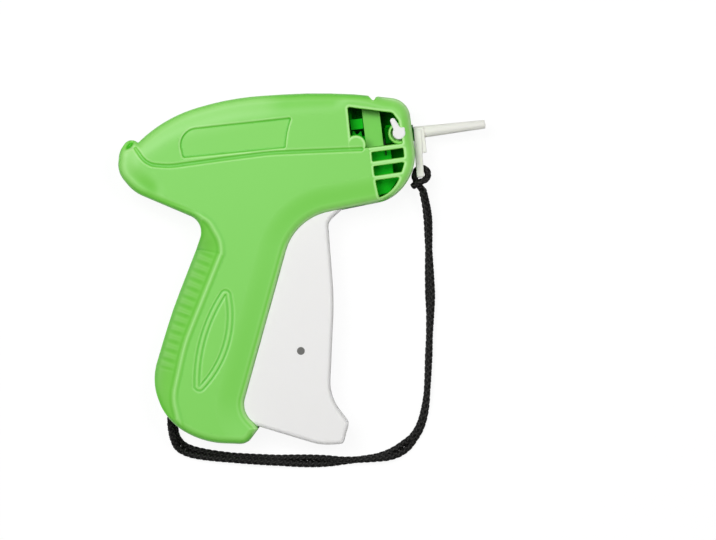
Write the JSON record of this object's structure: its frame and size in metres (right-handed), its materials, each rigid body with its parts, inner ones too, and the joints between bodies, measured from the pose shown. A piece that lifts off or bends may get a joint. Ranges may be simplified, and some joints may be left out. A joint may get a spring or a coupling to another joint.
{
  "type": "garment tag attacher",
  "caption": "Hand-held garment tag attacher: moulded pistol casing, squeezed trigger, lever-driven slide and ejector rod, hollow needle with a pull-off cover, and a wrist lanyard.",
  "frame": {"origin": "on the trigger's pivot axis, at the flat left face that the tool lies on", "axes": "+X along the needle towards its point, +Y towards the tool's top edge, +Z from the left face to the right face"},
  "size_m": [0.1606, 0.1633, 0.027],
  "materials": {
    "green_plastic": "satin moulded ABS, light green",
    "light_green_plastic": "satin moulded plastic, light green",
    "dark_green_plastic": "satin moulded plastic, deep green",
    "white_plastic": "satin moulded ABS, white",
    "cover_plastic": "soft off-white polyethylene",
    "inner_plastic": "natural acetal",
    "steel": "bright steel",
    "black_braid": "braided polyester cord, black"
  },
  "bodies": {
    "casing": {"housing_right": "green_plastic", "housing_left": "green_plastic", "trigger_pivot_pin": "steel", "lever_pivot_pin": "steel", "needle_hub": "dark_green_plastic", "needle": "steel", "knife_blade": "steel", "feed_wheel_axle": "steel", "feed_pawl_pin": "steel", "detent_spring": "steel", "clip_guide": "light_green_plastic", "lanyard_cord": "black_braid", "lanyard_anchor": "black_braid"},
    "trigger": {"trigger": "white_plastic", "link_pin": "steel", "return_spring": "steel"},
    "link": {"trigger_link": "inner_plastic"},
    "lever": {"drive_lever": "inner_plastic", "lever_link_pin": "steel"},
    "slide": {"slide": "inner_plastic", "slide_drive_pin": "steel", "ejector_rod": "steel"},
    "lock_knob": {"needle_lock_knob": "white_plastic"},
    "cover": {"needle_cover": "cover_plastic", "lanyard_knot": "black_braid"},
    "feed_wheel": {"feed_wheel": "green_plastic"},
    "feed_pawl": {"feed_pawl": "inner_plastic"}
  },
  "joints": [
    {"name": "trigger_squeeze", "type": "hinge", "parent": "casing", "child": "trigger", "pos_m": [0, 0, 0.0135], "axis": [0, 0, -1], "range_deg": [0, 20], "stiffness_Nm_per_rad": 0.4, "springref_deg": -11.46},
    {"name": "link_turn", "type": "hinge", "parent": "trigger", "child": "link", "pos_m": [-0.0304, -0.0657, 0.0135], "axis": [0, 0, 1], "range_deg": [0, 41]},
    {"name": "lever_turn", "type": "hinge", "parent": "casing", "child": "lever", "pos_m": [-0.0605, -0.027, 0.0135], "axis": [0, 0, -1], "range_deg": [0, 46.5]},
    {"name": "slide_travel", "type": "slide", "parent": "casing", "child": "slide", "axis": [1, 0, 0], "range_m": [0, 0.0424]},
    {"name": "feed_pawl_swing", "type": "hinge", "parent": "casing", "child": "feed_pawl", "pos_m": [-0.006, 0.0262, 0.0108], "axis": [0, 0, -1], "range_deg": [0, 10.2]},
    {"name": "feed_wheel_turn", "type": "hinge", "parent": "casing", "child": "feed_wheel", "pos_m": [0.0044, 0.0202, 0.0108], "axis": [0, 0, 1], "continuous": true},
    {"name": "needle_lock_turn", "type": "hinge", "parent": "casing", "child": "lock_knob", "pos_m": [0.0233, 0.0228, 0.022], "axis": [0, 0, 1], "range_deg": [0, 80]},
    {"name": "needle_cover_pull", "type": "slide", "parent": "casing", "child": "cover", "axis": [1, 0, 0], "range_m": [0, 0.035]}
  ],
  "couplings": [
    {"joint": "link_turn", "follows": "trigger_squeeze", "ratio": 2.036},
    {"joint": "lever_turn", "follows": "trigger_squeeze", "ratio": 2.303},
    {"joint": "slide_travel", "follows": "trigger_squeeze", "m_per_rad": 0.12056},
    {"joint": "feed_pawl_swing", "follows": "trigger_squeeze", "ratio": 0.5}
  ]
}
